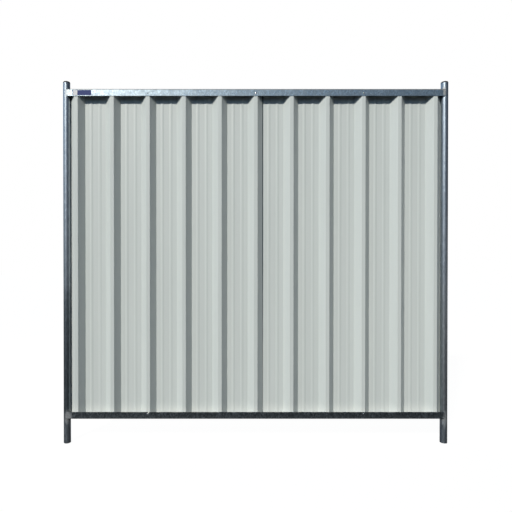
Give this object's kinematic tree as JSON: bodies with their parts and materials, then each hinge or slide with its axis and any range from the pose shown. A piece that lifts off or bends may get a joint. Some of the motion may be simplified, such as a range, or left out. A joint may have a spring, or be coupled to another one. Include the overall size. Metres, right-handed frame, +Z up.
{
  "type": "clad fence panel",
  "caption": "Free-standing site hoarding panel: round galvanised posts, channel rails welded to them, and grey trapezoidal steel sheets riveted between the rails.",
  "frame": {"origin": "on the ground, midway between the axes of the two posts", "axes": "+X along the panel, to the right seen from the front; -Y out of the front, where the flanges carry the rivet heads; +Z up"},
  "size_m": [2.2288, 0.0459, 2.093],
  "materials": {
    "post_zinc": "hot-dip galvanised, spangled",
    "rail_zinc": "hot-dip galvanised, spangled",
    "sheet_coating": "satin light grey coil coating",
    "cap_plastic": "matt black",
    "rivet_body": "satin",
    "rivet_mandrel": "zinc plated",
    "blank_label": "plain blue film with a bare white box, nothing printed on it",
    "weld_bead": "matt zinc paint over the bead"
  },
  "bodies": {
    "root": {"left_post": "post_zinc", "right_post": "post_zinc", "post_caps": "cap_plastic", "top_rail": "rail_zinc", "bottom_rail": "rail_zinc", "left_sheet": "sheet_coating", "right_sheet": "sheet_coating", "top_rail_rivet_bodies": "rivet_body", "top_rail_rivet_mandrels": "rivet_mandrel", "bottom_rail_rivet_bodies": "rivet_body", "bottom_rail_rivet_mandrels": "rivet_mandrel", "top_left_weld": "weld_bead", "top_right_weld": "weld_bead", "bottom_left_weld": "weld_bead", "bottom_right_weld": "weld_bead"}
  },
  "joints": []
}
